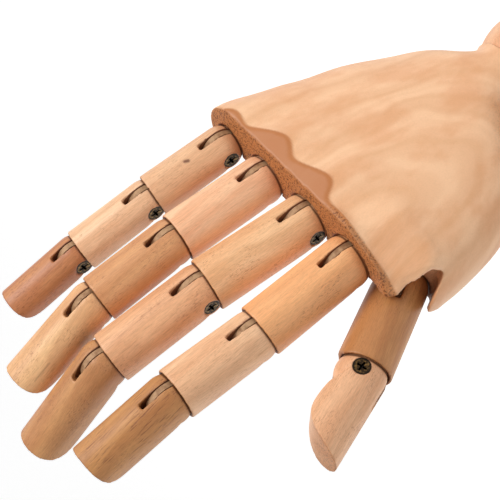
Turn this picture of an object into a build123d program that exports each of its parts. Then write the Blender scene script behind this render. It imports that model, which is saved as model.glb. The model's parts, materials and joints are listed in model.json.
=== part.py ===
from build123d import *
import math
import os

# A jointed wooden hand that stands on its forearm. Lengths are in millimetres and angles in degrees.
# +Z runs up towards the fingertips, the back of the hand faces -Y and the thumb is on the -X side.
# The origin is at the middle of the flat foot.

# Forearm
foot_radius = 30.0
foot_band_height = 9.0
foot_edge_round = 2.0
forearm_neck_radius = 15.0

# Wrist ball and the spring that draws the hand down on it
ball_radius = 18.0
ball_height = 104.5
socket_clearance = 0.3
cup_rim_wall = 0.9
ball_bore_radius = 4.6
ball_bore_flare = 1.6
spring_radius = 3.7
spring_wire_radius = 0.7
spring_end_inset = 0.5
hook_start_gap = 0.1
hook_bend_radius = 2.3
hook_leg_length = 3.4
bolt_radius = 2.5
bolt_clearance = 0.1
eye_top = 3.2
eye_bottom = 4.0
eye_width = 7.0
eye_thickness = 2.2
eye_hole_radius = 1.6
eye_screw_radius = 1.6
eye_screw_length = 12.0
chamber_radius = 5.2
chamber_end_gap = 1.5
recess_radius = 9.0
recess_depth = 9.0
washer_radius = 7.5
washer_thickness = 1.5
nut_across_flats = 8.0
nut_thickness = 4.0
bolt_tail = 1.2

# Palm
knuckle_height = 197.5
palm_neck_radius = 14.6
palm_waist_radius = 13.9
palm_waist_drop = 76.6
palm_end_ulnar_drop = 0.2
palm_end_radial_drop = 5.6
palm_end_half_span = 45.0
bevel_start_depth = 13.9
bevel_angle = 68.0
palm_bevel_start_depth = 2.4
palm_bevel_angle = 34.0
knuckle_ridge = 1.8

# Fingers: where each knuckle hinge sits, how far the finger leans sideways and how far each joint is bent
little_knuckle_side = 32.7
ring_knuckle_side = 14.5
middle_knuckle_side = -5.8
index_knuckle_side = -25.4
little_knuckle_rise = 2.6
ring_knuckle_rise = 0.5
middle_knuckle_rise = -1.2
index_knuckle_rise = -1.9
little_lean = 2.6
ring_lean = -0.9
middle_lean = 1.3
index_lean = -3.1
little_bend = (12.8, 4.0, 6.3)
ring_bend = (6.4, 6.4, 19.2)
middle_bend = (7.4, 7.4, 27.0)
index_bend = (10.0, -4.8, 10.1)
# The side each pivot screw's head is on: 1 is the thumb side
little_heads = (1, 1, 1)
ring_heads = (-1, -1, -1)
middle_heads = (1, 1, -1)
index_heads = (-1, -1, -1)

little_proximal_length = 28.0
little_middle_length = 27.2
little_distal_length = 24.5
ring_proximal_length = 33.0
ring_middle_length = 29.4
ring_distal_length = 31.5
middle_proximal_length = 37.0
middle_middle_length = 34.8
middle_distal_length = 33.5
index_proximal_length = 34.2
index_middle_length = 30.0
index_distal_length = 29.0

little_radius = 6.9
ring_radius = 7.8
middle_radius = 8.35
index_radius = 8.5
middle_bone_share = 0.965
distal_bone_share = 0.925

# Thumb: its knuckle lies in the pocket, and it points up and outwards
thumb_knuckle_side = -35.9
thumb_knuckle_depth = 11.0
thumb_knuckle_drop = 14.0
thumb_direction = (-0.54, 0.04, 0.84)
thumb_pocket_direction = (-0.24, -0.96, -0.11)
thumb_screw_direction = (-0.165, -0.972, 0.003)
thumb_bend = 7.0
thumb_proximal_length = 32.0
thumb_distal_length = 28.0
thumb_radius = 8.55
thumb_distal_share = 0.95
pocket_outer_reach = 9.3
pocket_length = 30.0
pocket_wall_clearance = 0.5
pocket_corner_round = 2.5
lip_side = -40.3
lip_depth = 2.2
lip_drop = 4.3
lip_direction = (0.07, 0.82, -0.57)
lip_end_depth = -4.6

# Joint between two bones, sized for a bone of joint_radius
joint_radius = 8.0
rim_setback = 2.8
ball_end_inset = 0.3
cup_clearance = 0.4
rim_edge = 0.3
slot_width = 2.1
slot_reach = 7.1
tongue_thickness = 1.7
tongue_inset = 1.3
neck_half_width = 1.5
neck_step = 0.15
shank_step = 0.08
shank_radius = 1.7
shank_length = 8.0
glue_clearance = 0.03
relief_angle = 58.0
relief_start = 1.4
rim_relief_angle = 42.0
rim_relief_depth = 2.0
screw_head_radius = 2.7
screw_head_sink = 0.45
screw_head_depth = 1.9
screw_radius = 1.2
screw_clearance = 0.08
screw_far_wall = 1.8
cross_arm_width = 0.7
cross_arm_length = 3.2
cross_depth = 1.0
cross_taper = 12.0
cross_turn = 20.0

overrun = 2.0

os.makedirs("parts", exist_ok=True)

finger_sides = (little_knuckle_side, ring_knuckle_side, middle_knuckle_side, index_knuckle_side)
finger_rises = (little_knuckle_rise, ring_knuckle_rise, middle_knuckle_rise, index_knuckle_rise)
finger_leans = (little_lean, ring_lean, middle_lean, index_lean)
finger_bends = (little_bend, ring_bend, middle_bend, index_bend)
finger_heads = (little_heads, ring_heads, middle_heads, index_heads)
finger_radii = (little_radius, ring_radius, middle_radius, index_radius)
finger_lengths = (
    (little_proximal_length, little_middle_length, little_distal_length),
    (ring_proximal_length, ring_middle_length, ring_distal_length),
    (middle_proximal_length, middle_middle_length, middle_distal_length),
    (index_proximal_length, index_middle_length, index_distal_length),
)
finger_names = ("little", "ring", "middle", "index")
bone_names = ("proximal", "middle", "distal")

ball_centre = Vector(0, 0, ball_height)
socket_radius = ball_radius + socket_clearance


def save(part, name):
    """Labels a finished piece and writes it under its own name."""
    part.label = name
    export_step(part, f"parts/{name}.step")


# Each joint has a side plane through its hinge: x runs along the bone, y towards the palm side of the bone,
# and the normal is the hinge axis, about which a positive turn bends the finger.
def hinge_plane(origin, along, axis):
    return Plane(origin=origin, x_dir=along, z_dir=axis)


def bent(plane, angle, reach):
    """The side plane of the next joint, reach along the bone and bent by angle."""
    turned = plane.x_dir.rotate(Axis((0, 0, 0), tuple(plane.z_dir)), angle)
    return hinge_plane(plane.origin + plane.x_dir * reach, turned, plane.z_dir)


def scaled(size, radius):
    """A joint size in proportion to the bone's radius."""
    return size * radius / joint_radius


def finger_direction(lean):
    return Vector(math.sin(math.radians(lean)), 0, math.cos(math.radians(lean)))


def finger_chain(side, rise, lean, bends, lengths):
    """The side planes of one finger's joints, from its knuckle to its tip joint."""
    along = finger_direction(lean)
    start = hinge_plane(Vector(side, 0, knuckle_height + rise), along, along.cross(Vector(0, 1, 0)))
    planes = [bent(start, bends[0], 0)]
    for bend, length in zip(bends[1:], lengths):
        planes.append(bent(planes[-1], bend, length))
    return planes


chains = {}
root_directions = {}
finger_rows = zip(
    finger_names,
    finger_sides,
    finger_rises,
    finger_leans,
    finger_bends,
    finger_lengths,
    finger_radii,
    finger_heads,
)
for name, side, rise, lean, bends, lengths, radius, heads in finger_rows:
    root_directions[name] = finger_direction(lean)
    planes = finger_chain(side, rise, lean, bends, lengths)
    radii = (radius, radius * middle_bone_share, radius * distal_bone_share)
    chains[name] = [
        dict(name=f"{name}_{bone}", plane=plane, radius=bone_radius, length=length, head=head)
        for bone, plane, bone_radius, length, head in zip(bone_names, planes, radii, lengths, heads)
    ]

# The thumb's knuckle hinge lies across its pocket, and its tip hinge faces the back of the hand
thumb_along = Vector(*thumb_direction).normalized()
thumb_knuckle = Vector(thumb_knuckle_side, thumb_knuckle_depth, knuckle_height - thumb_knuckle_drop)


def thumb_plane(direction):
    """A side plane along the thumb that turns its back towards direction."""
    toward = Vector(*direction)
    return hinge_plane(thumb_knuckle, thumb_along, thumb_along * toward.dot(thumb_along) - toward)


root_directions["thumb"] = thumb_along
pocket_side = thumb_plane(thumb_pocket_direction)
chains["thumb"] = [
    dict(
        name="thumb_proximal",
        plane=hinge_plane(thumb_knuckle, thumb_along, thumb_along.cross(pocket_side.z_dir)),
        radius=thumb_radius,
        length=thumb_proximal_length,
        head=-1,
    ),
    dict(
        name="thumb_distal",
        plane=bent(thumb_plane(thumb_screw_direction), thumb_bend, thumb_proximal_length),
        radius=thumb_radius * thumb_distal_share,
        length=thumb_distal_length,
        head=-1,
    ),
]


def ball_end(radius):
    """Radius of the rounded end that turns in the cup of the bone before."""
    return radius - scaled(ball_end_inset, radius)


# Palm
palm_base = ball_height + math.sqrt(socket_radius**2 - (palm_neck_radius - cup_rim_wall) ** 2)
palm_length = knuckle_height - palm_base
# Stations up the palm: share of its length, then ulnar, radial, dorsal and palmar reach and how far the thumb
# side leans to the palm, as shares of the end's half span, and the squareness of the ulnar and thumb sides.
palm_station_shares = (
    (0.178, 0.535, 0.535, 0.313, 0.322, 0.010, 2.1, 2.1),
    (0.320, 0.650, 0.845, 0.325, 0.355, 0.044, 2.3, 2.3),
    (0.468, 0.762, 0.997, 0.338, 0.373, 0.078, 2.4, 2.5),
    (0.604, 0.815, 1.057, 0.344, 0.373, 0.089, 2.5, 2.8),
    (0.716, 0.872, 1.090, 0.347, 0.362, 0.089, 2.6, 3.1),
    (0.777, 0.895, 1.107, 0.347, 0.355, 0.089, 2.7, 3.1),
    (0.827, 0.915, 1.104, 0.345, 0.347, 0.111, 2.8, 2.6),
    (0.870, 0.934, 1.050, 0.341, 0.334, 0.122, 2.9, 2.4),
    (0.907, 0.948, 0.970, 0.338, 0.327, 0.111, 3.0, 2.6),
    (0.944, 0.957, 0.873, 0.334, 0.320, 0.055, 3.1, 4.0),
    (1.012, 0.958, 0.820, 0.325, 0.311, 0.000, 3.2, 4.5),
)
# Points round the outline as shares of its half width. Across the back they stand on the four knuckles and in
# the valleys between them.
across_back_shares = (0.93, 0.70, 0.52, 0.32, 0.10, -0.13, -0.34, -0.56, -0.74, -0.92)
across_palm_shares = (-0.94, -0.80, -0.50, -0.10, 0.30, 0.66, 0.90)
ridge_start_share = 0.6


def palm_outline(ulnar, radial, dorsal, palmar, lean, ulnar_squareness, radial_squareness, ridge):
    """Points round one station of the palm, from the ulnar side across the back and home across the palm."""
    middle = (ulnar - radial) / 2
    half = (ulnar + radial) / 2
    points = [(ulnar, 0)]
    for place, across in enumerate(across_back_shares + (-1,) + across_palm_shares):
        on_back = place < len(across_back_shares)
        lift = ridge if on_back and place % 2 else 0
        squareness = ulnar_squareness if across > 0 else radial_squareness
        rim = (1 - abs(across) ** squareness) ** (1 / squareness)
        depth = -(dorsal + lift) * rim if on_back else palmar * rim
        points.append((middle + half * across, depth + lean * min(across, 0) ** 2))
    return points


def round_outline(radius):
    """Points round a circle, spaced like the palm's own outline points."""
    return palm_outline(radius, radius, radius, radius, 0, 2, 2, 0)


# The flat that the fingers stand on, and the bevels along its two long edges
end_drop_slope = (palm_end_radial_drop - palm_end_ulnar_drop) / (2 * palm_end_half_span)
end_middle_drop = (palm_end_radial_drop + palm_end_ulnar_drop) / 2
end_along = Vector(1, 0, end_drop_slope).normalized()
end_normal = Vector(-end_drop_slope, 0, 1).normalized()
end_origin = Vector(0, 0, knuckle_height - end_middle_drop)
end_plane = Plane(end_origin, x_dir=end_along, z_dir=end_normal)


def bevel_plane(depth, angle):
    """The end plane tipped about a line that stands depth towards the palm side."""
    normal = end_normal.rotate(Axis((0, 0, 0), tuple(end_along)), angle)
    return Plane(end_origin + Vector(0, depth, 0), x_dir=end_along, z_dir=normal)


back_bevel_plane = bevel_plane(-bevel_start_depth, bevel_angle)
palm_bevel_plane = bevel_plane(palm_bevel_start_depth, -palm_bevel_angle)

# Thumb pocket: its walls lie along the thumb, and a slanting roof makes the lip of the back above it
pocket_start = -scaled(rim_setback, thumb_radius)
pocket_inner_reach = thumb_radius + pocket_wall_clearance
pocket_corners = (
    (pocket_start, -pocket_outer_reach),
    (pocket_length, -pocket_outer_reach),
    (pocket_length, pocket_inner_reach),
    (pocket_start, pocket_inner_reach),
)
lip_point = Vector(lip_side, lip_depth, knuckle_height - lip_drop)
roof_plane = Plane(lip_point, z_dir=Vector(*lip_direction))

# Heights of the spring's eyes above and below the ball's centre
eye_height = ball_radius + hook_start_gap + hook_leg_length + 2 * hook_bend_radius
chamber_end = eye_height + eye_bottom + chamber_end_gap
bolt_end = recess_depth - washer_thickness - nut_thickness - bolt_tail

# Forearm: from the foot band the side draws in to a waist below the rim
forearm_rim_height = ball_height - math.sqrt(socket_radius**2 - (forearm_neck_radius - cup_rim_wall) ** 2)
forearm_rise = forearm_rim_height - foot_band_height
forearm_step = foot_radius - forearm_neck_radius
forearm_curve_shares = ((0, 1), (0.10, 0.86), (0.34, 0.42), (0.64, 0.06), (0.86, -0.06), (1, 0))
forearm_curve = [
    (forearm_neck_radius + across * forearm_step, foot_band_height + up * forearm_rise)
    for up, across in forearm_curve_shares
]

# Fingertip: the palm side is cut away to the nail line. Shares of the bone's length and of its radius.
finger_pad_shares = ((0.32, 1.06), (0.57, 0.76), (0.78, 0.50), (0.91, 0.14), (0.975, -0.33), (1.0, -1.0))
thumb_pad_shares = ((0.24, 0.74), (0.42, 0.90), (0.58, 0.86), (0.73, 0.58), (0.87, 0.02), (1.0, -1.0))


def shank_end(radius):
    """How far a tongue's shank reaches below its hinge."""
    return ball_end(radius) + cup_clearance + shank_length


with BuildPart() as thumb_pocket:
    with BuildSketch(pocket_side):
        with BuildLine():
            Polyline(pocket_corners, close=True)
        make_face()
        inner_corners = vertices().sort_by_distance(thumb_knuckle)[:2]
        fillet(inner_corners, pocket_corner_round)
    extrude(amount=pocket_length, both=True)
    split(bisect_by=roof_plane, keep=Keep.TOP)
    split(bisect_by=Plane.XZ.offset(-lip_end_depth), keep=Keep.BOTTOM)

with BuildPart() as palm:
    with BuildSketch(Plane.XY.offset(palm_base)):
        with BuildLine():
            Spline(*round_outline(palm_neck_radius), periodic=True)
        make_face()
    with BuildSketch(Plane.XY.offset(knuckle_height - palm_waist_drop)):
        with BuildLine():
            Spline(*round_outline(palm_waist_radius), periodic=True)
        make_face()
    for height, *reach_shares, ulnar_squareness, radial_squareness in palm_station_shares:
        reaches = [share * palm_end_half_span for share in reach_shares]
        ridge = knuckle_ridge * max(0, (height - ridge_start_share) / (1 - ridge_start_share))
        outline = palm_outline(*reaches, ulnar_squareness, radial_squareness, ridge)
        with BuildSketch(Plane.XY.offset(palm_base + palm_length * height)):
            with BuildLine():
                Spline(*outline, periodic=True)
            make_face()
    loft()
    # The finger end is one flat that drops towards the thumb, with a bevel along the back and along the palm
    split(bisect_by=end_plane, keep=Keep.BOTTOM)
    split(bisect_by=back_bevel_plane, keep=Keep.BOTTOM)
    split(bisect_by=palm_bevel_plane, keep=Keep.BOTTOM)
    add(thumb_pocket.part, mode=Mode.SUBTRACT)
    # A round cup and a shank hole for each knuckle
    for bones in chains.values():
        knuckle = bones[0]
        with Locations(knuckle["plane"].origin):
            Sphere(ball_end(knuckle["radius"]) + cup_clearance, mode=Mode.SUBTRACT)
    for name, bones in chains.items():
        knuckle = bones[0]
        with BuildSketch(Plane(knuckle["plane"].origin, z_dir=root_directions[name])):
            Circle(shank_radius + glue_clearance)
        extrude(amount=-shank_end(knuckle["radius"]) - glue_clearance, mode=Mode.SUBTRACT)
    # Wrist: the cup for the ball, the spring's chamber and the hole for the eye screw
    with Locations(ball_centre):
        Sphere(socket_radius, mode=Mode.SUBTRACT)
    with BuildSketch(Plane.XY.offset(ball_height)):
        Circle(chamber_radius)
    extrude(amount=chamber_end, mode=Mode.SUBTRACT)
    with BuildSketch(Plane.XY.offset(ball_height)):
        Circle(eye_screw_radius + glue_clearance)
    extrude(amount=chamber_end + eye_screw_length, mode=Mode.SUBTRACT)
save(palm.part, "palm")


with BuildPart() as forearm_base:
    with BuildSketch(Plane.XZ):
        with BuildLine():
            Line((0, 0), (foot_radius - foot_edge_round, 0))
            RadiusArc((foot_radius - foot_edge_round, 0), (foot_radius, foot_edge_round), -foot_edge_round)
            Line((foot_radius, foot_edge_round), (foot_radius, foot_band_height))
            Spline(*forearm_curve)
            Line((forearm_neck_radius, forearm_rim_height), (0, forearm_rim_height))
            Line((0, forearm_rim_height), (0, 0))
        make_face()
    revolve(axis=Axis.Z)
    with Locations(ball_centre):
        Sphere(socket_radius, mode=Mode.SUBTRACT)
    with BuildSketch():
        Circle(recess_radius)
    extrude(amount=recess_depth, mode=Mode.SUBTRACT)
    with BuildSketch():
        Circle(bolt_radius + bolt_clearance)
    extrude(amount=ball_height, mode=Mode.SUBTRACT)
    with BuildSketch(Plane.XY.offset(ball_height)):
        Circle(chamber_radius)
    extrude(amount=-chamber_end, mode=Mode.SUBTRACT)
save(forearm_base.part, "forearm_base")

with BuildPart() as wrist_ball:
    with Locations(ball_centre):
        Sphere(ball_radius)
        Cylinder(ball_bore_radius, ball_radius * 2, mode=Mode.SUBTRACT)
    chamfer(wrist_ball.edges().filter_by(GeomType.CIRCLE), ball_bore_flare)
save(wrist_ball.part, "wrist_ball")

with BuildPart() as wrist_spring:
    with Locations(ball_centre):
        Cylinder(spring_radius + spring_wire_radius, (ball_radius - spring_end_inset) * 2)
        Cylinder(spring_radius - spring_wire_radius, ball_radius * 2, mode=Mode.SUBTRACT)
save(wrist_spring.part, "wrist_spring")

with BuildPart() as tension_bolt:
    with BuildSketch(Plane.XY.offset(bolt_end)):
        Circle(bolt_radius)
    extrude(amount=ball_height - eye_height - eye_bottom - bolt_end + eye_thickness)
    with BuildSketch(Plane.YZ):
        with Locations((0, ball_height - eye_height)):
            with Locations((0, (eye_top - eye_bottom) / 2)):
                Rectangle(eye_width, eye_top + eye_bottom)
            Circle(eye_hole_radius, mode=Mode.SUBTRACT)
    extrude(amount=eye_thickness / 2, both=True)
save(tension_bolt.part, "tension_bolt")

with BuildPart() as palm_eye_screw:
    with BuildSketch(Plane.XY.offset(ball_height + chamber_end + eye_screw_length - overrun)):
        Circle(eye_screw_radius)
    extrude(amount=-(chamber_end + eye_screw_length - overrun - eye_height - eye_bottom + eye_thickness))
    with BuildSketch(Plane.YZ):
        with Locations((0, ball_height + eye_height)):
            with Locations((0, (eye_bottom - eye_top) / 2)):
                Rectangle(eye_width, eye_top + eye_bottom)
            Circle(eye_hole_radius, mode=Mode.SUBTRACT)
    extrude(amount=eye_thickness / 2, both=True)
save(palm_eye_screw.part, "palm_eye_screw")

for name, way in (("spring_upper_hook", 1), ("spring_lower_hook", -1)):
    ring_height = eye_height - hook_bend_radius
    with BuildPart() as hook:
        with BuildSketch(Plane.XY.offset(ball_height + way * ring_height)):
            with Locations((hook_bend_radius, 0)):
                Circle(spring_wire_radius)
        revolve(axis=Axis((0, 0, ball_height + way * ring_height), (0, 1, 0)))
        with BuildSketch(Plane.XY.offset(ball_height + way * (ball_radius + hook_start_gap))):
            Circle(spring_wire_radius)
        extrude(amount=way * (ring_height - hook_bend_radius - ball_radius - hook_start_gap))
    save(hook.part, name)

with BuildPart() as tension_washer:
    with BuildSketch(Plane.XY.offset(recess_depth - washer_thickness)):
        Circle(washer_radius)
        Circle(bolt_radius + bolt_clearance, mode=Mode.SUBTRACT)
    extrude(amount=washer_thickness)
save(tension_washer.part, "tension_washer")

with BuildPart() as tension_nut:
    with BuildSketch(Plane.XY.offset(recess_depth - washer_thickness - nut_thickness)):
        RegularPolygon(nut_across_flats / 2, side_count=6, major_radius=False)
        Circle(bolt_radius + glue_clearance, mode=Mode.SUBTRACT)
    extrude(amount=nut_thickness)
save(tension_nut.part, "tension_nut")


def screw_outline(radius, extra=0, outward=0):
    """Half section of a pivot screw, or of its hole: x runs from the hinge towards the head."""
    top = radius - screw_head_sink
    points = [
        (-radius + screw_far_wall - extra, 0),
        (-radius + screw_far_wall - extra, screw_radius + extra),
        (top - screw_head_depth, screw_radius + extra),
        (top, screw_head_radius + extra),
    ]
    if outward:
        points.append((top + outward, screw_head_radius + extra))
    return points + [(top + outward, 0)]


def head_plane(bone):
    """A plane through the hinge with x towards the screw's head."""
    side = bone["plane"]
    return Plane(side.origin, x_dir=side.z_dir * bone["head"], z_dir=side.x_dir)


for name, bones in chains.items():
    for place, bone in enumerate(bones):
        side = bone["plane"]
        radius = bone["radius"]
        length = bone["length"]
        turning = ball_end(radius)
        heads = head_plane(bone)
        head_axis = Axis(side.origin, heads.x_dir)
        bone_axis = Axis(side.origin, side.x_dir)
        following = bones[place + 1] if place + 1 < len(bones) else None
        with BuildPart() as phalanx:
            if following:
                setback = scaled(rim_setback, following["radius"])
                rim = length - setback
                with BuildSketch(side):
                    with BuildLine():
                        Polyline(
                            (0, 0),
                            (0, turning),
                            (rim - rim_edge, radius),
                            (rim, radius - rim_edge),
                            (rim, 0),
                            close=True,
                        )
                    make_face()
                revolve(axis=bone_axis)
            else:
                with BuildSketch(side):
                    with BuildLine():
                        Polyline((0, 0), (0, turning), (length, turning), (length, 0), close=True)
                    make_face()
                revolve(axis=bone_axis)
                pad_shares = thumb_pad_shares if name == "thumb" else finger_pad_shares
                pad = [(along * length, across * turning) for along, across in pad_shares]
                with BuildSketch(side):
                    with BuildLine():
                        Spline(*pad)
                        Polyline(
                            pad[-1],
                            (length + overrun, -turning - overrun),
                            (length + overrun, radius + overrun),
                            (pad[0][0], radius + overrun),
                            pad[0],
                        )
                    make_face()
                extrude(amount=radius + overrun, both=True, mode=Mode.SUBTRACT)
            # Relief on the palm side, so that the bone can bend past the rim before it
            reach = radius + overrun
            start = scaled(relief_start, radius)
            lean = (reach - start) * math.tan(math.radians(relief_angle))
            with BuildSketch(side):
                with BuildLine():
                    Polyline((0, start), (lean, reach), (0, reach), close=True)
                make_face()
            extrude(amount=reach, both=True, mode=Mode.SUBTRACT)
            with Locations(side.origin):
                Sphere(turning)
            # Saw slot for the tongue, right through from the back to the palm side
            slot_length = reach + scaled(slot_reach, radius)
            with BuildSketch(side):
                with Locations((slot_length / 2 - reach, 0)):
                    Rectangle(slot_length, 2 * reach)
            extrude(amount=slot_width / 2, both=True, mode=Mode.SUBTRACT)
            with BuildSketch(heads):
                with BuildLine():
                    Polyline(*screw_outline(turning, glue_clearance, overrun), close=True)
                make_face()
            revolve(axis=head_axis, mode=Mode.SUBTRACT)
            if following:
                with Locations(following["plane"].origin):
                    Sphere(ball_end(following["radius"]) + cup_clearance, mode=Mode.SUBTRACT)
                with BuildSketch(Plane(following["plane"].origin, z_dir=side.x_dir)):
                    Circle(shank_radius + glue_clearance)
                extrude(amount=-shank_end(following["radius"]) - glue_clearance, mode=Mode.SUBTRACT)
                rim_width = rim_relief_depth / math.tan(math.radians(rim_relief_angle))
                with BuildSketch(hinge_plane(side.origin, side.x_dir, following["plane"].z_dir)):
                    with BuildLine():
                        Polyline(
                            (rim + overrun, radius - rim_width),
                            (rim, radius - rim_width),
                            (rim - rim_relief_depth, radius),
                            (rim - rim_relief_depth, radius + overrun),
                            (rim + overrun, radius + overrun),
                            close=True,
                        )
                    make_face()
                extrude(amount=reach, both=True, mode=Mode.SUBTRACT)
        save(phalanx.part, bone["name"])

        # The tongue is fixed in the piece before, so it keeps that piece's direction
        before = bones[place - 1]["plane"].x_dir if place else root_directions[name]
        fixed = hinge_plane(side.origin, before, side.z_dir)
        with BuildPart() as tongue:
            with BuildSketch(fixed):
                Circle(turning - tongue_inset)
                with Locations((-(turning + neck_step) / 2, 0)):
                    Rectangle(turning + neck_step, 2 * neck_half_width)
                Circle(screw_radius + screw_clearance, mode=Mode.SUBTRACT)
            extrude(amount=tongue_thickness / 2, both=True)
            with BuildSketch(Plane(side.origin - before * (turning + shank_step), z_dir=before)):
                Circle(shank_radius)
            extrude(amount=-(shank_end(radius) - turning - shank_step))
        save(tongue.part, f"{bone['name']}_tongue")

        with BuildPart() as pivot_screw:
            with BuildSketch(heads):
                with BuildLine():
                    Polyline(*screw_outline(turning), close=True)
                make_face()
            revolve(axis=head_axis)
            with BuildSketch(Plane(side.origin + heads.x_dir * (turning - screw_head_sink), z_dir=heads.x_dir)):
                Rectangle(cross_arm_length, cross_arm_width, rotation=cross_turn)
                Rectangle(cross_arm_width, cross_arm_length, rotation=cross_turn)
            extrude(amount=-cross_depth, taper=cross_taper, mode=Mode.SUBTRACT)
        save(pivot_screw.part, f"{bone['name']}_screw")
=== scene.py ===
import json
import math

import bmesh
import bpy
import numpy as np
from mathutils import Matrix, Vector, noise

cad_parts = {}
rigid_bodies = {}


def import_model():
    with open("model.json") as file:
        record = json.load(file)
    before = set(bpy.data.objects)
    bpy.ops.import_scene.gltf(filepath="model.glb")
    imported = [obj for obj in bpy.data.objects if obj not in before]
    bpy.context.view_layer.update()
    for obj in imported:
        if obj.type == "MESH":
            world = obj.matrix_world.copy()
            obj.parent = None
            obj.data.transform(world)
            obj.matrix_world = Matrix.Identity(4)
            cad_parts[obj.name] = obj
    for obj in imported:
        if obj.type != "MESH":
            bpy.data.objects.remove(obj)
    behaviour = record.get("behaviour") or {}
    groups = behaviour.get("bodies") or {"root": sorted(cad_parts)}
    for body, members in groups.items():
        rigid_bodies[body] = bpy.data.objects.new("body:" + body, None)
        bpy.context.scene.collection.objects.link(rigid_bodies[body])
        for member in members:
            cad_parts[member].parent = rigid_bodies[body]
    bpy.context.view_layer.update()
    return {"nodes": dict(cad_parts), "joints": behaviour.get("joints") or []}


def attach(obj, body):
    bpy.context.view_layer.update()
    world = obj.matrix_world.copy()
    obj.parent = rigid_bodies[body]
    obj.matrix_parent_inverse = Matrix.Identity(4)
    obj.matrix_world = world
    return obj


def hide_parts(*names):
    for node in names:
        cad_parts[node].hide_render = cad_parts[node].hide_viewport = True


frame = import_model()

# The looks of a jointed wooden hand: turned finger bones, a carved palm, saw slots, dull tongues and bronze
# screws. Places are in metres in the shared frame: +Z to the fingertips, -Y out of the back of the hand,
# -X to the thumb.

MM = 0.001


def paint(red, green, blue):
    """A colour given as it looks on a screen, 0 to 255, as the linear colour that a shader wants."""
    def linear(level):
        level /= 255
        return level / 12.92 if level <= 0.04045 else ((level + 0.055) / 1.055) ** 2.4

    return (linear(red), linear(green), linear(blue), 1.0)


# Camera and light

# The camera's place, the directions to its right, up and back, and its focal length in millimetres
camera_place = Vector((-0.2716, -0.4009, 0.34945))
camera_right = Vector((-0.5506, 0.0867, -0.8303))
camera_up = Vector((0.6423, -0.5913, -0.4877))
camera_back = Vector((-0.5332, -0.8018, 0.2699))
camera_focal_length = 123.64

camera_data = bpy.data.cameras.new("photo_camera")
camera_data.lens = camera_focal_length
camera_data.sensor_width = 36
camera_data.sensor_fit = "HORIZONTAL"
camera = bpy.data.objects.new("photo_camera", camera_data)
bpy.context.collection.objects.link(camera)
camera.matrix_world = Matrix(
    [
        (camera_right[row], camera_up[row], camera_back[row], camera_place[row])
        for row in range(3)
    ]
    + [(0, 0, 0, 1)]
)
bpy.context.scene.camera = camera

hand_middle = Vector((0, 0, 0.2))


def soft_lamp(name, place, size, power, colour=(1, 1, 1)):
    """A square lamp that faces the hand."""
    data = bpy.data.lights.new(name, "AREA")
    data.size = size
    data.energy = power
    data.color = colour
    lamp = bpy.data.objects.new(name, data)
    lamp.location = place
    lamp.rotation_euler = (hand_middle - Vector(place)).to_track_quat("-Z", "Y").to_euler()
    bpy.context.collection.objects.link(lamp)


# As the camera sees them, the key lamp is to the upper left, the fill lamp to the lower right, and the rim
# lamp below and a little behind the hand
soft_lamp("key_lamp", (0.40, -0.70, 0.80), 0.45, 7.2)
soft_lamp("fill_lamp", (-0.9, -0.5, 0.25), 0.7, 0.7)
soft_lamp("rim_lamp", (-0.5, 0.45, 0.1), 0.6, 1.4)


class Tree:
    """A small helper that adds nodes to a tree and wires them, so that a recipe reads from top to bottom."""

    def __init__(self, tree):
        self.tree = tree

    def add(self, kind, settings=None, **inputs):
        node = self.tree.nodes.new(kind)
        for name, value in (settings or {}).items():
            setattr(node, name, value)
        for name, value in inputs.items():
            self.feed(node, name.replace("_", " "), value)
        return node

    def feed(self, node, name, value):
        """Wires or sets one input, named as Blender names it or by its place, as in i0."""
        socket = node.inputs[int(name[1:])] if name[0] == "i" and name[1:].isdigit() else node.inputs[name]
        if isinstance(value, bpy.types.NodeSocket):
            self.tree.links.new(value, socket)
        else:
            socket.default_value = value

    def math(self, operation, first, second=0.0, third=0.0, clamp=False):
        node = self.add("ShaderNodeMath", {"operation": operation, "use_clamp": clamp}, i0=first, i1=second)
        if operation == "MULTIPLY_ADD":
            self.feed(node, "i2", third)
        return node.outputs[0]

    def stretch(self, vector, scale):
        node = self.add("ShaderNodeVectorMath", {"operation": "MULTIPLY"}, i0=vector, i1=scale)
        return node.outputs[0]

    def reach(self, vector):
        """Distance from the z axis."""
        flat = self.stretch(vector, (1.0, 1.0, 0.0))
        return self.add("ShaderNodeVectorMath", {"operation": "LENGTH"}, i0=flat).outputs["Value"]

    def noise(self, vector, scale, detail=2.0, roughness=0.5, distortion=0.0):
        node = self.add(
            "ShaderNodeTexNoise",
            Vector=vector,
            Scale=scale,
            Detail=detail,
            Roughness=roughness,
            Distortion=distortion,
        )
        return node.outputs["Fac"]

    def step(self, value, low, high, to_low=0.0, to_high=1.0):
        """A soft step: to_low below low, to_high above high."""
        node = self.add(
            "ShaderNodeMapRange",
            {"interpolation_type": "SMOOTHSTEP"},
            i0=value,
            i1=low,
            i2=high,
            i3=to_low,
            i4=to_high,
        )
        return node.outputs[0]

    def mix(self, share, first, second, blend="MIX"):
        settings = {"data_type": "RGBA", "blend_type": blend}
        node = self.add("ShaderNodeMix", settings, i0=share, i6=first, i7=second)
        return node.outputs[2]


def new_group(name, inputs, outputs):
    """A shader node group, its tree, what it is given and where it puts its results out.

    inputs are (name, kind, default), and outputs are (name, kind).
    """
    group = bpy.data.node_groups.new(name, "ShaderNodeTree")
    for socket_name, kind, default in inputs:
        socket = group.interface.new_socket(name=socket_name, in_out="INPUT", socket_type=kind)
        if default is not None:
            socket.default_value = default
    for socket_name, kind in outputs:
        group.interface.new_socket(name=socket_name, in_out="OUTPUT", socket_type=kind)
    enter = group.nodes.new("NodeGroupInput")
    leave = group.nodes.new("NodeGroupOutput")
    return group, Tree(group), enter.outputs, leave


def use_group(recipe, group, **inputs):
    """Places a shared group in a material or in another group."""
    return recipe.add("ShaderNodeGroup", {"node_tree": group}, **inputs)


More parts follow.
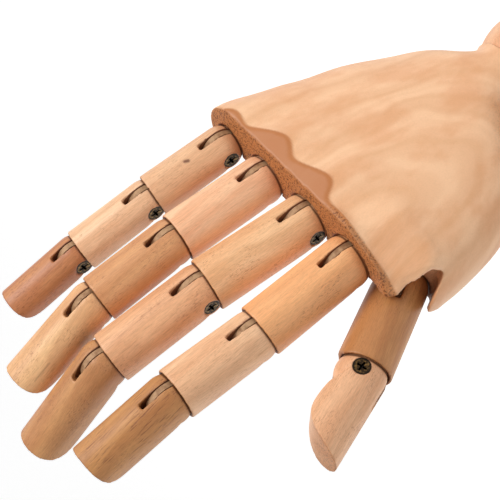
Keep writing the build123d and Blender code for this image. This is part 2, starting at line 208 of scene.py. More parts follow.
FLOAT = "NodeSocketFloat"
COLOUR = "NodeSocketColor"
VECTOR = "NodeSocketVector"

# Wood: shared recipes. The vector is in millimetres, with z along the grain.

grain_group, tree, given, out = new_group(
    "wood_grain",
    [
        ("Vector", VECTOR, None),
        ("Band Width", FLOAT, 7.0),
        ("Fleck Amount", FLOAT, 0.5),
        ("Streak Amount", FLOAT, 0.2),
    ],
    [("Bands", FLOAT), ("Fibres", FLOAT), ("Flecks", FLOAT), ("Blush", FLOAT), ("Height", FLOAT)],
)
vector = given["Vector"]
# Growth rings stand round a heart that lies beside the piece, so that they show as long lines and arches
bend = tree.noise(tree.stretch(vector, (0.05, 0.05, 0.018)), 1.0, 2.0)
ring_place = tree.math("MULTIPLY_ADD", bend, 14.0, tree.reach(vector))
turns = tree.math("DIVIDE", tree.math("MULTIPLY", ring_place, 2 * math.pi), given["Band Width"])
wide_bands = tree.step(tree.math("SINE", turns), -1.0, 1.0)
thin_bands = tree.step(tree.math("SINE", tree.math("MULTIPLY", turns, 2.7)), -0.6, 1.0)
bands = tree.math("MULTIPLY_ADD", thin_bands, 0.25, tree.math("MULTIPLY", wide_bands, 0.75))
fibres = tree.noise(tree.stretch(vector, (4.5, 4.5, 0.3)), 1.0, 4.0, 0.62)
patches = tree.step(tree.noise(tree.stretch(vector, (0.17, 0.17, 0.08)), 1.0, 2.0), 0.45, 0.62)
ticks = tree.noise(tree.stretch(vector, (3.4, 3.4, 0.9)), 1.0, 3.0, 0.7)
patch_level = tree.math("MULTIPLY_ADD", patches, 0.75, 0.25)
fleck_level = tree.math("MULTIPLY", tree.step(ticks, 0.53, 0.66), patch_level)
flecks = tree.math("MULTIPLY", fleck_level, given["Fleck Amount"])
long_ticks = tree.noise(tree.stretch(vector, (2.6, 2.6, 0.13)), 1.0, 3.0, 0.6)
streaks = tree.math("MULTIPLY", tree.step(long_ticks, 0.54, 0.68), given["Streak Amount"])
flecks = tree.math("ADD", flecks, streaks, clamp=True)
blush = tree.step(tree.noise(tree.stretch(vector, (0.09, 0.09, 0.03)), 1.0, 3.0, 0.6), 0.38, 0.66)
height = tree.math("MULTIPLY_ADD", fibres, 0.5, tree.math("MULTIPLY", flecks, -0.9))
tree.feed(out, "Bands", bands)
tree.feed(out, "Fibres", fibres)
tree.feed(out, "Flecks", flecks)
tree.feed(out, "Blush", blush)
tree.feed(out, "Height", height)

end_group, tree, given, out = new_group(
    "end_grain",
    [("Vector", VECTOR, None), ("Normal", VECTOR, None)],
    [("Mask", FLOAT), ("Speckle", FLOAT), ("Facet", FLOAT), ("Height", FLOAT)],
)
along = tree.add("ShaderNodeSeparateXYZ", i0=given["Normal"]).outputs["Z"]
across_grain = tree.step(tree.math("ABSOLUTE", along), 0.55, 0.95)
end_mark = tree.add("ShaderNodeAttribute", {"attribute_name": "end"}).outputs["Fac"]
tree.feed(out, "Mask", tree.math("MAXIMUM", tree.math("MULTIPLY", across_grain, 0.6), end_mark))
tree.feed(out, "Facet", tree.add("ShaderNodeAttribute", {"attribute_name": "facet"}).outputs["Fac"])
pores = tree.noise(tree.stretch(given["Vector"], (1.6, 1.6, 1.2)), 1.0, 3.0, 0.75)
tree.feed(out, "Speckle", tree.step(pores, 0.49, 0.60))
tree.feed(out, "Height", tree.math("MULTIPLY", pores, -1.6))

wear_and_shade_group, tree, given, out = new_group(
    "edge_wear",
    [("Vector", VECTOR, None)],
    [("Edge", FLOAT), ("Dark", FLOAT), ("Seam", FLOAT)],
)
edge = tree.add("ShaderNodeAttribute", {"attribute_name": "edge"}).outputs["Fac"]
uneven = tree.noise(tree.stretch(given["Vector"], (0.9, 0.9, 0.9)), 1.0, 3.0)
tree.feed(out, "Edge", tree.math("MULTIPLY", edge, tree.step(uneven, 0.25, 0.65), clamp=True))
# Dark: sawn walls of slots, cups and the thumb pocket, darkened also as painted shade in these hollows
tree.feed(out, "Dark", tree.add("ShaderNodeAttribute", {"attribute_name": "sawn"}).outputs["Fac"])
# Seam: a dark line of dirt and painted shade where a bone leaves the cup before it, and the knots and cracks
seam = tree.add("ShaderNodeAttribute", {"attribute_name": "seam"}).outputs["Fac"]
tree.feed(out, "Seam", tree.math("MULTIPLY", seam, tree.step(uneven, 0.15, 0.5, 0.6, 1.0), clamp=True))


look_group, tree, given, out = new_group(
    "wood_look",
    [
        ("Vector", VECTOR, None),
        ("Normal", VECTOR, None),
        ("Light", COLOUR, None),
        ("Dark", COLOUR, None),
        ("Band Width", FLOAT, 7.0),
        ("Band Amount", FLOAT, 0.5),
        ("Fibre Amount", FLOAT, 1.0),
        ("Fleck Amount", FLOAT, 0.5),
        ("Streak Amount", FLOAT, 0.2),
    ],
    [("Colour", COLOUR), ("Roughness", FLOAT), ("Height", FLOAT)],
)


def darker(red, green, blue):
    """The piece's dark colour, tinted."""
    return tree.mix(1.0, given["Dark"], (red, green, blue, 1.0), "MULTIPLY")


def share_of(level, share):
    """A mask taken down to a share of itself."""
    return tree.math("MULTIPLY", level, share)


vector = given["Vector"]
grain = use_group(
    tree,
    grain_group,
    Vector=vector,
    Band_Width=given["Band Width"],
    Fleck_Amount=given["Fleck Amount"],
    Streak_Amount=given["Streak Amount"],
).outputs
ends = use_group(tree, end_group, Vector=vector, Normal=given["Normal"]).outputs
wear = use_group(tree, wear_and_shade_group, Vector=vector).outputs
colour = tree.mix(share_of(grain["Bands"], given["Band Amount"]), given["Light"], given["Dark"])
colour = tree.mix(share_of(grain["Blush"], 0.4), colour, darker(1.04, 0.90, 0.80))
fibre_swing = tree.math("MULTIPLY_ADD", tree.step(grain["Fibres"], 0.28, 0.72), -0.21, 0.09)
tone = tree.math("MULTIPLY_ADD", fibre_swing, given["Fibre Amount"], 1.0)
tone_colour = tree.add("ShaderNodeCombineColor", i0=tone, i1=tone, i2=tone).outputs[0]
colour = tree.mix(1.0, colour, tone_colour, "MULTIPLY")
colour = tree.mix(share_of(grain["Flecks"], 0.75), colour, darker(0.48, 0.30, 0.19))
colour = tree.mix(share_of(ends["Facet"], 0.9), colour, darker(0.66, 0.46, 0.22))
end_colour = tree.mix(ends["Speckle"], darker(0.80, 0.67, 0.50), darker(0.22, 0.13, 0.07))
colour = tree.mix(ends["Mask"], colour, end_colour)
colour = tree.mix(share_of(wear["Edge"], 0.35), colour, darker(0.50, 0.34, 0.22))
# The dark mark: sawn wood, with painted shade in slots, cups and the pocket
colour = tree.mix(share_of(wear["Dark"], 0.85), colour, darker(0.22, 0.11, 0.06))
# The seam mark: dirt and painted shade where the parts meet, and knots and cracks
colour = tree.mix(share_of(wear["Seam"], 0.85), colour, darker(0.16, 0.08, 0.04))
dull = tree.math("MULTIPLY_ADD", ends["Mask"], 0.3, 0.40)
tree.feed(out, "Colour", colour)
tree.feed(out, "Roughness", tree.math("MULTIPLY_ADD", grain["Fibres"], 0.14, dull))
end_height = tree.math("MULTIPLY", ends["Mask"], ends["Height"])
tree.feed(out, "Height", tree.math("ADD", grain["Height"], end_height))


def wood_material(
    name,
    light,
    dark,
    matrix,
    band_width=7.0,
    flecks=0.5,
    streaks=0.2,
    heart=(30.0, 12.0, 0.0),
    tilt=3.0,
    bands=0.5,
    fibres=1.0,
):
    """Oiled wood whose grain runs along one piece: matrix turns the shared frame into the piece's own."""
    material = bpy.data.materials.new(name)
    material.use_nodes = True
    tree = Tree(material.node_tree)
    shader = material.node_tree.nodes["Principled BSDF"]
    place = tree.add("ShaderNodeTexCoord")
    lean = Matrix.Rotation(math.radians(tilt), 4, Vector((heart[1], -heart[0], 0)).normalized())
    own_matrix = lean @ matrix
    turn = own_matrix.to_3x3().to_euler()
    own = tree.add(
        "ShaderNodeMapping",
        Vector=place.outputs["Object"],
        Location=[own_matrix.translation[axis] / MM + heart[axis] for axis in range(3)],
        Rotation=turn,
        Scale=(1 / MM, 1 / MM, 1 / MM),
    ).outputs[0]
    facing = tree.add(
        "ShaderNodeMapping", {"vector_type": "NORMAL"}, Vector=place.outputs["Normal"], Rotation=turn
    ).outputs[0]
    look = use_group(
        tree,
        look_group,
        Vector=own,
        Normal=facing,
        Light=light,
        Dark=dark,
        Band_Width=band_width,
        Band_Amount=bands,
        Fibre_Amount=fibres,
        Fleck_Amount=flecks,
        Streak_Amount=streaks,
    ).outputs
    tree.feed(shader, "Base Color", look["Colour"])
    tree.feed(shader, "Roughness", look["Roughness"])
    bump = tree.add("ShaderNodeBump", Strength=0.35, Distance=0.12 * MM, Height=look["Height"])
    tree.feed(shader, "Normal", bump.outputs[0])
    shader.inputs["Specular IOR Level"].default_value = 0.42
    shader.inputs["Coat Weight"].default_value = 0.12
    shader.inputs["Coat Roughness"].default_value = 0.35
    return material


# The bones' own frames, from the joints: z along the bone, x along the hinge, y towards the palm side

joints = {joint["child"]: joint for joint in frame["joints"]}


def joint_place(body):
    return Vector(joints[body]["pos_m"])


def joint_axis(body):
    return Vector(joints[body]["axis"]).normalized()


finger_names = ("little", "ring", "middle", "index")
# How far each fingertip is bent from the bone before it, in degrees
tip_bends = {"little": 6.3, "ring": 19.2, "middle": 27.0, "index": 10.1, "thumb": 7.0}


def next_bone(bone):
    """The bone after this one, or None after a fingertip."""
    return next((joint["child"] for joint in frame["joints"] if joint["parent"] == bone), None)


def own_frame(place, axis, along):
    """Turns the shared frame into one at place, with z along a bone and x as near as can be to the axis."""
    axis = (axis - along * axis.dot(along)).normalized()
    turn = Matrix((axis, along.cross(axis), along))
    return turn.to_4x4() @ Matrix.Translation(-place)


bone_frames = {}
for bone in joints:
    finger = bone.split("_")[0]
    if finger not in tip_bends:
        continue
    following = next_bone(bone)
    if following:
        axis = joint_axis(following)
        along = (joint_place(following) - joint_place(bone)).normalized()
    else:
        axis = joint_axis(bone)
        bone_before = Vector(bone_frames[joints[bone]["parent"]].to_3x3()[2])
        along = Matrix.Rotation(math.radians(tip_bends[finger]), 3, axis) @ bone_before
    bone_frames[bone] = own_frame(joint_place(bone), axis, along)


# Worn wooden pieces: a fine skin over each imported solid, with softened edges and its own marks

weld_distance = 0.002 * MM
# How fine the skin's mesh is, and in how many steps its edges are softened
bone_voxel = 0.32 * MM
palm_voxel = 0.51 * MM
turned_voxel = 0.7 * MM
soften_steps = 2
# The share of a voxel by which an edge sinks where it counts as fully worn, and the grain of the wear
worn_sink = 0.16
wear_grain = 0.9 * MM
# How deep worn edges are chipped
carved_chip = 0.12 * MM
turned_chip = 0.1 * MM
# Points with less than this share of a soft spot stay out of it
least_share = 0.01


def welded_copy(node, prefix):
    """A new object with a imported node's mesh, its doubled points joined and its materials left out."""
    mesh = frame["nodes"][node].data.copy()
    mesh.materials.clear()
    solid = bmesh.new()
    solid.from_mesh(mesh)
    bmesh.ops.remove_doubles(solid, verts=solid.verts, dist=weld_distance)
    solid.to_mesh(mesh)
    solid.free()
    piece = bpy.data.objects.new(prefix + node, mesh)
    bpy.context.collection.objects.link(piece)
    return piece


def worn_piece(node, voxel, chip, soft_spots=(), cutter=None):
    """A fine, slightly worn copy of a packed wooden solid.

    chip is how deep its worn edges are. soft_spots are (path, radius, steps, shift) of edges that are
    rounded, or drawn back, along a path. A cutter is a block that is first cut out of the solid.
    """
    piece = welded_copy(node, "worn_")
    if cutter:
        cut = piece.modifiers.new("longer_saw_slot", "BOOLEAN")
        cut.object = cutter
        cut.operation = "DIFFERENCE"
        cut.solver = "EXACT"
        bake(piece)
        bpy.data.objects.remove(cutter)
    fine = piece.modifiers.new("fine_skin", "REMESH")
    fine.mode = "VOXEL"
    fine.voxel_size = voxel
    fine.use_smooth_shade = True
    bake(piece)
    before, _ = read(piece.data)
    soften_by(piece, soften_steps)
    after, normals = read(piece.data)
    rounding = np.einsum("ij,ij->i", after - before, normals)
    edge = np.clip(-rounding / (worn_sink * voxel), 0, 1)
    for path, radius, steps, shift in soft_spots:
        near = soft_step(distance_to_path(after, path), radius, 0.4 * radius)
        group = piece.vertex_groups.new(name="soft_spot")
        for index in np.flatnonzero(near > least_share):
            group.add([int(index)], float(near[index]), "REPLACE")
        set_points(piece.data, after + near[:, None] * np.array(shift))
        soften_by(piece, steps, "soft_spot")
        piece.vertex_groups.clear()
        after, normals = read(piece.data)
        edge *= 1 - near
    grit = np.array([noise.noise(Vector(point) / wear_grain) for point in after])
    moved = after - normals * (np.clip(edge * (0.35 + grit), 0, 1) * chip)[:, None]
    set_points(piece.data, moved)
    write(piece.data, "edge", edge)
    return piece


def soften_by(piece, steps, group=""):
    """Smooths a piece, or only the part of it that the group of points weighs."""
    smooth = piece.modifiers.new("softened", "SMOOTH")
    smooth.factor = 0.5
    smooth.iterations = steps
    smooth.vertex_group = group
    bake(piece)


def bake(piece):
    """Turns the piece's modifiers into its mesh."""
    graph = bpy.context.evaluated_depsgraph_get()
    mesh = bpy.data.meshes.new_from_object(piece.evaluated_get(graph))
    piece.modifiers.clear()
    piece.data = mesh


def read(mesh):
    """The places of a mesh's points and their normals."""
    count = len(mesh.vertices)
    points = np.empty(count * 3, dtype=np.float32)
    mesh.vertices.foreach_get("co", points)
    normals = np.empty(count * 3, dtype=np.float32)
    mesh.vertex_normals.foreach_get("vector", normals)
    return points.reshape(-1, 3).astype(float), normals.reshape(-1, 3).astype(float)


def set_points(mesh, points):
    mesh.vertices.foreach_set("co", points.astype(np.float32).ravel())
    mesh.update()


def write(mesh, name, values):
    """Stores one mark for each point, which the materials read by its name."""
    layer = mesh.attributes.new(name, "FLOAT", "POINT")
    layer.data.foreach_set("value", np.asarray(values, dtype=np.float32))


def soft_step(values, low, high):
    share = np.clip((values - low) / (high - low), 0, 1)
    return share * share * (3 - 2 * share)


def distance_to_path(points, path):
    """Distance of each point to the nearest of the straight lines that join the path's points."""
    nearest = np.full(len(points), np.inf)
    for start, end in zip(np.array(path[:-1]), np.array(path[1:])):
        way = end - start
        share = np.clip((points - start) @ way / (way @ way), 0, 1)
        nearest = np.minimum(nearest, np.linalg.norm(points - start - share[:, None] * way, axis=1))
    return nearest


# The palm's finger end drops towards the thumb, and the facets on the back meet it at a slant
end_drop = 0.06
facet_slant = math.radians(68)
end_normal = Vector((-end_drop, 0, 1)).normalized()
end_along = Vector((1, 0, end_drop)).normalized()
end_place = Vector((0, 0, 194.6 * MM))
facet_normal = Matrix.Rotation(facet_slant, 3, end_along) @ end_normal
facet_place = end_place + Vector((0, -13.9 * MM, 0))

# The bones' radii in millimetres, and how they taper from part to part
finger_radii = {"little": 6.9, "ring": 7.8, "middle": 8.35, "index": 8.5, "thumb": 8.55}
bone_shares = {"proximal": 1.0, "middle": 0.965, "distal": 0.925}
thumb_tip_share = 0.95


def bone_radius(bone):
    """Radius of a turned bone."""
    finger, part = bone.split("_")
    share = thumb_tip_share if bone == "thumb_distal" else bone_shares[part]
    return finger_radii[finger] * share * MM


def mark_cups(piece, cup_bones, reach=0.6 * MM):
    """Marks the wood that faces these bones' rounded ends, up to reach beyond them."""
    points, normals = read(piece.data)
    mark = np.zeros(len(points))
    for bone in cup_bones:
        away = points - np.array(joint_place(bone))
        distance = np.linalg.norm(away, axis=1)
        toward = -np.einsum("ij,ij->i", away, normals) / np.maximum(distance, 1e-9)
        mark = np.maximum(mark, soft_step(toward, 0.2, 0.7) * (distance < bone_radius(bone) + reach))
    return mark


def hinge_frame(bone):
    """The bone's frame, turned about the bone so that x lies along the hinge at its root."""
    return own_frame(joint_place(bone), joint_axis(bone), Vector(bone_frames[bone].to_3x3()[2]))


# Half widths of the saw slot: as it is cut, and with its edges
slot_half_width = 1.05 * MM
slot_mark_half_width = 1.3 * MM
# The longer slot as shares of the bone's radius: from and to along the bone, and how far in and out it is cut
slot_start, slot_end = 0.75, 1.06
slot_inner, slot_outer = -0.286, -1.586


def mark_slot(piece, bone):
    """Marks the walls of the bone's saw slot."""
    points, normals = read(piece.data)
    own = np.array(hinge_frame(bone))
    local = points @ own[:3, :3].T + own[:3, 3]
    facing = np.abs(normals @ own[0, :3])
    inside = np.hypot(local[:, 1], local[:, 2] * 0.7) < bone_radius(bone) * 0.97
    return ((np.abs(local[:, 0]) < slot_mark_half_width) & inside & (facing > 0.5)) * 1.0


def slot_cutter(bone):
    """A block that lengthens the saw slot on the back of a bone, where the saw ran out."""
    radius = bone_radius(bone)
    block = bmesh.new()
    bmesh.ops.create_cube(block, size=2)
    to_shared = hinge_frame(bone).inverted()
    for corner in block.verts:
        x, y, z = corner.co
        depth = slot_inner if y < 0 else slot_outer
        reach = slot_start if z < 0 else slot_end
        corner.co = to_shared @ Vector((x * slot_half_width, depth * radius, reach * radius))
    bmesh.ops.recalc_face_normals(block, faces=block.faces)
    mesh = bpy.data.meshes.new("saw_block")
    block.to_mesh(mesh)
    block.free()
    cutter = bpy.data.objects.new("saw_block", mesh)
    bpy.context.collection.objects.link(cutter)
    return cutter


def swell(piece, bone, share):
    """Makes a bone a little wider along its hinge."""
    points, _ = read(piece.data)
    own = np.array(bone_frames[bone])
    across = points @ own[0, :3] + own[0, 3]
    set_points(piece.data, points + (across * share)[:, None] * own[0, :3])


# The bones' rounded ends as a share of their radius, and how deep the tongue's round edge lies below them:
# in the solid, and where it is nearly flush. Points within rim_band of the edge belong to it.
ball_share = 0.9625
plate_inset = 1.3 * MM
flush_inset = 0.4 * MM
rim_band = 0.03 * MM


def wide_tongue(bone):
    """The tongue between two bones, with its round edge brought nearly flush with the wood."""
    piece = welded_copy(bone + "_tongue", "flush_")
    points, _ = read(piece.data)
    axis = np.array(joint_axis(bone))
    away = points - np.array(joint_place(bone))
    along = away @ axis
    flat = away - along[:, None] * axis
    reach = np.linalg.norm(flat, axis=1)
    ball = bone_radius(bone) * ball_share
    rim = np.abs(reach - (ball - plate_inset)) < rim_band
    grown = np.where(rim, (ball - flush_inset) / np.maximum(reach, 1e-9), 1.0)
    set_points(piece.data, np.array(joint_place(bone)) + flat * grown[:, None] + along[:, None] * axis)
    return piece


# The cups' rims lie this share of the radius before the joint; a dark line of dirt and painted shade lies
# just above them
cup_depth_share = 0.35
seam_lift = 0.1 * MM
seam_width = 0.5 * MM


def mark_seam(piece, bone):
    """Marks a dark line of dirt and painted shade where a bone's rounded end comes out of the wood before it.
    """
    points, _ = read(piece.data)
    parent = joints[bone]["parent"]
    if parent in bone_frames:
        before = Vector(bone_frames[parent].to_3x3()[2])
        rim = joint_place(bone) - before * (cup_depth_share * bone_radius(bone))
    else:
        before, rim = end_normal, end_place
    height = (points - np.array(rim)) @ np.array(before)
    return soft_step(np.abs(height - seam_lift), seam_width, 0.3 * seam_width)


# Each bone: its light and dark colour, then how much it is flecked and streaked
bone_looks = {
    "little_proximal": ((239, 191, 148), (213, 151, 105), 0.5, 0.3),
    "little_middle": ((251, 205, 163), (218, 160, 115), 0.5, 0.2),
    "little_distal": ((206, 140, 91), (166, 96, 57), 0.8, 0.3),
    "ring_proximal": ((255, 208, 166), (232, 166, 123), 0.35, 0.2),
    "ring_middle": ((226, 168, 116), (193, 126, 79), 0.6, 0.2),
    "ring_distal": ((247, 197, 143), (208, 149, 102), 0.7, 0.3),
    "middle_proximal": ((251, 201, 152), (219, 159, 107), 0.8, 0.2),
    "middle_middle": ((245, 189, 143), (211, 150, 105), 0.7, 0.3),
    "middle_distal": ((212, 154, 100), (172, 112, 67), 0.8, 0.2),
    "index_proximal": ((255, 190, 132), (221, 150, 94), 0.8, 0.1),
    "index_middle": ((252, 206, 163), (223, 166, 122), 0.4, 0.3),
    "index_distal": ((204, 144, 86), (162, 103, 54), 0.5, 1.0),
    "thumb_proximal": ((207, 147, 90), (167, 105, 56), 0.6, 0.2),
    "thumb_distal": ((250, 198, 155), (212, 153, 109), 0.7, 0.2),
}

# A small dark knot and a fine crack along the grain, as (start, end, radius, how dark it is)
dark_marks = {
    "little_proximal": ((0.0320, -0.0040, 0.2133), (0.0316, -0.0039, 0.2123), 0.8 * MM, 1.0),
    "ring_distal": ((0.0079, 0.0170, 0.2787), (0.0077, 0.0209, 0.2846), 0.4 * MM, 0.35),
}

# How much wider the bones of these fingers are along their hinges
bone_swell = {"little": 0.035, "ring": 0.035, "middle": 0.025}
bone_band_width = 6.0
# This bone's root lies in the palm's pocket, where its slot and seam don't show
hidden_root = "thumb_proximal"

for number, (bone, (light, dark, flecks, streaks)) in enumerate(bone_looks.items()):
    root_shows = bone != hidden_root
    piece = worn_piece(bone, bone_voxel, carved_chip, cutter=slot_cutter(bone) if root_shows else None)
    following = next_bone(bone)
    cups = mark_cups(piece, [following] if following else [])
    # Cups and the slot's walls get the dark mark: sawn wood, and painted shade in these hollows
    write(piece.data, "sawn", np.maximum(cups, mark_slot(piece, bone) * root_shows))
    # The seam mark: a dark line of dirt and painted shade at the cup's rim, with a knot or crack
    marks = mark_seam(piece, bone) * root_shows
    if bone in dark_marks:
        start, end, radius, depth = dark_marks[bone]
        near = distance_to_path(read(piece.data)[0], (start, end))
        marks = np.maximum(marks, depth * soft_step(near, radius, 0.3 * radius))
    write(piece.data, "seam", marks)
    swell(piece, bone, bone_swell.get(bone.split("_")[0], 0))
    # Each bone comes from another place in the tree
    material = wood_material(
        "wood_" + bone,
        paint(*light),
        paint(*dark),
        bone_frames[bone],
        bone_band_width,
        flecks,
        streaks,
        heart=(28.0 + 3.0 * (number % 5), 17.0 - 5.0 * (number % 4), 41.0 * number),
        tilt=2.0 + number % 3,
    )
    piece.data.materials.append(material)
    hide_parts(bone)
    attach(piece, bone)


def on_plane(points, normals, place, normal, depth):
    """One on the flat at place, fading out within depth of it and where the skin turns away."""
    height = np.abs((points - np.array(place)) @ np.array(normal))
    return soft_step(height, depth, 0.4 * depth) * soft_step(normals @ np.array(normal), 0.6, 0.9)


# The thumb pocket's edges: a thin clean lip, and a wall towards the wrist that is well rounded
lip_path = [
    (-0.0407, 0.0014, 0.1920),
    (-0.0421, 0.0008, 0.1909),
    (-0.0437, -0.0003, 0.1891),
    (-0.0458, -0.0025, 0.1858),
    (-0.0474, -0.0046, 0.1815),
    (-0.0476, -0.0045, 0.1765),
]
wall_path = [
    (-0.0475, -0.0044, 0.1760),
    (-0.0494, -0.0007, 0.1807),
    (-0.0498, 0.0028, 0.1829),
    (-0.0488, 0.0082, 0.1842),
    (-0.0475, 0.0112, 0.1837),
]
away_from_thumb = Vector((0.64, -0.59, -0.49))
pocket_edges = [
    (wall_path, 5.2 * MM, 160, (0, 0, 0)),
    (lip_path[3:5], 4.6 * MM, 2, away_from_thumb * 1.2 * MM),
    (lip_path[:2], 4.6 * MM, 2, away_from_thumb * -1.0 * MM),
    (lip_path, 2.6 * MM, 36, away_from_thumb * -0.5 * MM),
]

# The rough end: how deep its mark and its roughness go, and how coarse it is. On the thumb side it runs round
# the worn corner, which starts and ends this far from the middle, and reaches this far below the flat.
end_depth = 0.9 * MM
end_roughness = 0.16 * MM
coarse_grain, fine_grain = 0.55 * MM, 0.3 * MM
corner_start, corner_end = 12 * MM, 20 * MM
corner_fade, corner_reach = 2.3 * MM, 1.5 * MM
corner_share = 0.85
# The pocket's walls are darkened as painted shade this far from the thumb, to this share
pocket_shade_reach = 5.0 * MM
pocket_shade_share = 0.6

palm = worn_piece("palm", palm_voxel, carved_chip, pocket_edges)
points, normals = read(palm.data)
cups = mark_cups(palm, [finger + "_proximal" for finger in finger_names + ("thumb",)])
end = on_plane(points, normals, end_place, end_normal, end_depth)
below_end = (np.array(end_place) - points) @ np.array(end_normal)
thumb_side = soft_step(-points[:, 0], corner_start, corner_end)
end = np.maximum(end, corner_share * thumb_side * soft_step(below_end, corner_fade, corner_reach))
coarse = np.array([noise.noise(Vector(point) / coarse_grain) for point in points])
fine = np.array([noise.noise(Vector(point) / fine_grain) for point in points])
rough = np.clip(0.5 + coarse + 0.5 * fine, 0, 1.5)
set_points(palm.data, points - normals * (end * (1 - cups) * rough * end_roughness)[:, None])
# The finger sockets get the dark mark as sawn wood with painted shade, and the thumb pocket's walls as
# painted shade
pocket = mark_cups(palm, ["thumb_proximal"], pocket_shade_reach)
write(palm.data, "sawn", np.maximum(cups, pocket_shade_share * pocket))
write(palm.data, "end", end)
write(palm.data, "facet", on_plane(points, normals, facet_place, facet_normal, 0.5 * MM))
# The palm's rings close round a place near the index finger, so that they show on its back as wide arches
palm_grain = Matrix.Rotation(math.radians(28), 4, "X") @ Matrix.Translation((0.026, 0.014, -0.188))
palm.data.materials.append(
    wood_material(
        "wood_palm",
        paint(249, 200, 157),
        paint(214, 150, 98),
        palm_grain,
        band_width=11.0,
        flecks=0.1,
        streaks=0.05,
        heart=(0.1, 0.1, 0.0),
        tilt=0.0,
        bands=0.40,
        fibres=0.4,
    )
)
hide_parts("palm")
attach(palm, "palm")

for node, body, heart_side in (("wrist_ball", "wrist_ball", 5.0), ("forearm_base", "forearm", 23.0)):
    piece = worn_piece(node, turned_voxel, turned_chip)
    piece.data.materials.append(
        wood_material(
            "wood_" + node,
            paint(244, 192, 150),
            paint(224, 158, 112),
            Matrix.Identity(4),
            band_width=8.0,
            flecks=0.2,
            streaks=0.2,
            heart=(heart_side, 30.0, 9.0),
            tilt=6.0,
        )
    )
    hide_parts(node)
    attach(piece, body)


# Metal

metal_group, tree, given, out = new_group(
    "metal_wear",
    [("Vector", VECTOR, None), ("Stain Size", FLOAT, 0.5)],
    [("Stain", FLOAT), ("Scratch", FLOAT)],
)
tree.feed(out, "Stain", tree.step(tree.noise(given["Vector"], given["Stain Size"], 3.0, 0.6), 0.35, 0.7))
tree.feed(out, "Scratch", tree.noise(tree.stretch(given["Vector"], (4.0, 4.0, 1.0)), 1.5, 2.0))


def metal_material(name, colour, dark, roughness, metallic, stain_size):
    """Stained and finely scratched metal, seen in millimetres."""
    material = bpy.data.materials.new(name)
    material.use_nodes = True
    tree = Tree(material.node_tree)
    shader = material.node_tree.nodes["Principled BSDF"]
    own = tree.stretch(tree.add("ShaderNodeTexCoord").outputs["Object"], (1 / MM, 1 / MM, 1 / MM))
    wear = use_group(tree, metal_group, Vector=own, Stain_Size=stain_size).outputs
    tree.feed(shader, "Base Color", tree.mix(wear["Stain"], colour, dark))
    tree.feed(shader, "Roughness", tree.math("MULTIPLY_ADD", wear["Scratch"], 0.25, roughness))
    shader.inputs["Metallic"].default_value = metallic
    bump = tree.add("ShaderNodeBump", Strength=0.2, Distance=0.05 * MM, Height=wear["Scratch"])
    tree.feed(shader, "Normal", bump.outputs[0])
    return material


# Each finish: its colour and its stains' colour, roughness, how metallic it is and how fine its stains are
tongue_metal = metal_material("dull_grey_tongue", paint(184, 144, 106), paint(144, 104, 70), 0.55, 0.1, 0.5)
zinc = metal_material("zinc_hardware", paint(190, 190, 188), paint(140, 140, 138), 0.35, 1.0, 0.8)
wire = metal_material("spring_wire", paint(150, 150, 150), paint(100, 98, 96), 0.3, 1.0, 0.8)

head_group, tree, given, out = new_group(
    "screw_head",
    [("Vector", VECTOR, None)],
    [("Colour", COLOUR), ("Roughness", FLOAT), ("Height", FLOAT)],
)
depth = tree.add("ShaderNodeSeparateXYZ", i0=given["Vector"]).outputs["Z"]
grime = tree.noise(given["Vector"], 1.1, 3.0, 0.6)
stain = tree.step(grime, 0.34, 0.56)
# The head's outer rim is painted dark: painted shade from the hole round the head
ring = tree.step(tree.math("MULTIPLY_ADD", grime, 0.5, tree.reach(given["Vector"])), 2.2, 2.6, 0.0, 0.9)
colour = tree.mix(stain, paint(104, 78, 42), paint(40, 29, 18))
colour = tree.mix(ring, colour, paint(30, 24, 17))
# The cross recess is painted near black: painted shade in the recess
tree.feed(out, "Colour", tree.mix(tree.step(depth, -0.12, -0.35), colour, paint(12, 9, 7)))
tree.feed(out, "Roughness", tree.math("MULTIPLY_ADD", stain, 0.25, 0.22))
tree.feed(out, "Height", tree.noise(given["Vector"], 3.0, 2.0))


def screw_material(bone):
    """Bronzed steel with a brassy glint where the plating is worn, a rim painted dark as shade from the hole
    round the head, and a cross painted black as shade in its recess.
    """
    material = bpy.data.materials.new("bronzed_screw_" + bone)
    material.use_nodes = True
    tree = Tree(material.node_tree)
    shader = material.node_tree.nodes["Principled BSDF"]
    axis = joint_axis(bone)
    screw_points = frame["nodes"][bone + "_screw"].data.vertices
    reaches = [(vertex.co - joint_place(bone)).dot(axis) for vertex in screw_points]
    if -min(reaches) > max(reaches):
        axis = -axis
    top = max(abs(min(reaches)), max(reaches))
    turn = axis.to_track_quat("Z", "Y").to_matrix().transposed()
    shift = turn @ -(joint_place(bone) + axis * top) / MM
    own = tree.add(
        "ShaderNodeMapping",
        Vector=tree.add("ShaderNodeTexCoord").outputs["Object"],
        Location=shift,
        Rotation=turn.to_euler(),
        Scale=(1 / MM, 1 / MM, 1 / MM),
    ).outputs[0]
    head = use_group(tree, head_group, Vector=own).outputs
    tree.feed(shader, "Base Color", head["Colour"])
    tree.feed(shader, "Roughness", head["Roughness"])
    shader.inputs["Metallic"].default_value = 0.9
    bump = tree.add("ShaderNodeBump", Strength=0.4, Distance=0.06 * MM, Height=head["Height"])
    tree.feed(shader, "Normal", bump.outputs[0])
    return material


for bone in bone_looks:
    tongue = wide_tongue(bone)
    tongue.data.materials.append(tongue_metal)
    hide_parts(bone + "_tongue")
    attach(tongue, joints[bone]["parent"])

# The wrist's spring, as a coil that follows its sizes
spring_points, _ = read(frame["nodes"]["wrist_spring"].data)
spring_low, spring_high = spring_points.min(axis=0), spring_points.max(axis=0)
spring_wire = 0.7 * MM
spring_turns = 18

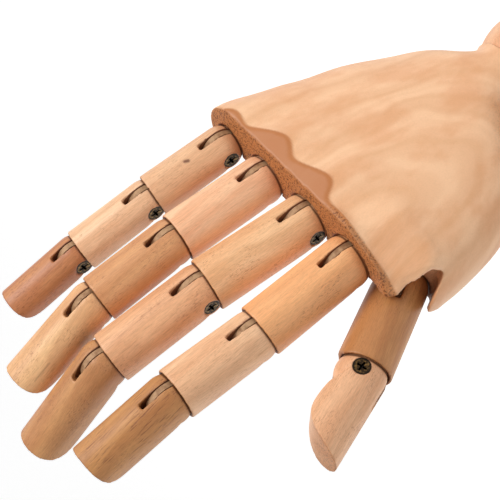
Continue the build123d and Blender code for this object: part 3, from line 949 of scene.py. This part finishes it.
coil_nodes = bpy.data.node_groups.new("coil_spring", "GeometryNodeTree")
coil_nodes.interface.new_socket(name="Geometry", in_out="OUTPUT", socket_type="NodeSocketGeometry")
coil_sizes = {
    "Turns": spring_turns,
    "Coil Radius": float(spring_high[0] - spring_low[0]) / 2 - spring_wire,
    "Wire Radius": spring_wire,
    "Length": float(spring_high[2] - spring_low[2]) - 2 * spring_wire,
    "Bottom": float(spring_low[2]) + spring_wire,
}
coil_sockets = {
    name: coil_nodes.interface.new_socket(name=name, in_out="INPUT", socket_type=FLOAT).identifier
    for name in coil_sizes
}
tree = Tree(coil_nodes)
given = coil_nodes.nodes.new("NodeGroupInput").outputs
helix = tree.add(
    "GeometryNodeCurveSpiral",
    Resolution=24,
    Rotations=given["Turns"],
    Start_Radius=given["Coil Radius"],
    End_Radius=given["Coil Radius"],
    Height=given["Length"],
)
ring = tree.add(
    "GeometryNodeCurvePrimitiveCircle", {"mode": "RADIUS"}, Resolution=10, Radius=given["Wire Radius"]
)
coil = tree.add(
    "GeometryNodeCurveToMesh", Curve=helix.outputs[0], Profile_Curve=ring.outputs[0], Fill_Caps=True
)
lift = tree.add("ShaderNodeCombineXYZ", Z=given["Bottom"])
lifted = tree.add("GeometryNodeTransform", Geometry=coil.outputs[0], Translation=lift.outputs[0])
real = tree.add("GeometryNodeRealizeInstances", Geometry=lifted.outputs[0])
dressed = tree.add("GeometryNodeSetMaterial", Geometry=real.outputs[0], Material=wire)
tree.feed(coil_nodes.nodes.new("NodeGroupOutput"), "Geometry", dressed.outputs[0])

coil_piece = bpy.data.objects.new("spring_coil", bpy.data.meshes.new("spring_coil"))
bpy.context.collection.objects.link(coil_piece)
winding = coil_piece.modifiers.new("coil_spring", "NODES")
winding.node_group = coil_nodes
for name, size in coil_sizes.items():
    winding[coil_sockets[name]] = float(size)
bake(coil_piece)
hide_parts("wrist_spring")
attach(coil_piece, "wrist_ball")

for node, piece in frame["nodes"].items():
    if node.endswith("_screw") and node != "palm_eye_screw":
        finish = screw_material(node.removesuffix("_screw"))
    elif "spring" in node:
        finish = wire
    elif node.startswith("tension") or node == "palm_eye_screw":
        finish = zinc
    else:
        continue
    for material_slot in piece.material_slots:
        material_slot.material = finish

# Floor and background

floor_mesh = bpy.data.meshes.new("floor")
floor_half_size = 6.0
corner_signs = ((-1, -1), (1, -1), (1, 1), (-1, 1))
floor_corners = [(x * floor_half_size, y * floor_half_size, 0) for x, y in corner_signs]
floor_mesh.from_pydata(floor_corners, [], [(0, 1, 2, 3)])
floor = bpy.data.objects.new("floor", floor_mesh)
bpy.context.collection.objects.link(floor)
floor_material = bpy.data.materials.new("pale_floor")
floor_material.use_nodes = True
tree = Tree(floor_material.node_tree)
floor_shader = floor_material.node_tree.nodes["Principled BSDF"]
floor_shader.inputs["Base Color"].default_value = (0.85, 0.85, 0.85, 1)
floor_shader.inputs["Roughness"].default_value = 0.9
floor_shader.inputs["Emission Color"].default_value = (1, 1, 1, 1)


def seen_directly(tree):
    """One for rays from the camera, off metal or through glass, nought for the light that the object gets."""
    rays = tree.add("ShaderNodeLightPath").outputs
    direct = tree.math("ADD", rays["Is Camera Ray"], rays["Is Glossy Ray"])
    return tree.math("ADD", direct, rays["Is Transmission Ray"], clamp=True)


floor_glow = 0.62
tree.feed(floor_shader, "Emission Strength", tree.math("MULTIPLY", seen_directly(tree), floor_glow))
floor.data.materials.append(floor_material)

# The room's light on the hand, and what is added where the camera sees the room itself, up to plain white
room_light = 0.37
room_glow = 1 - room_light

world = bpy.data.worlds.new("pale_room")
bpy.context.scene.world = world
world.use_nodes = True
room = Tree(world.node_tree)
background = world.node_tree.nodes["Background"]
background.inputs["Color"].default_value = (1, 1, 1, 1)
room.feed(background, "Strength", room.math("MULTIPLY_ADD", seen_directly(room), room_glow, room_light))

bpy.context.scene.view_settings.view_transform = "Standard"
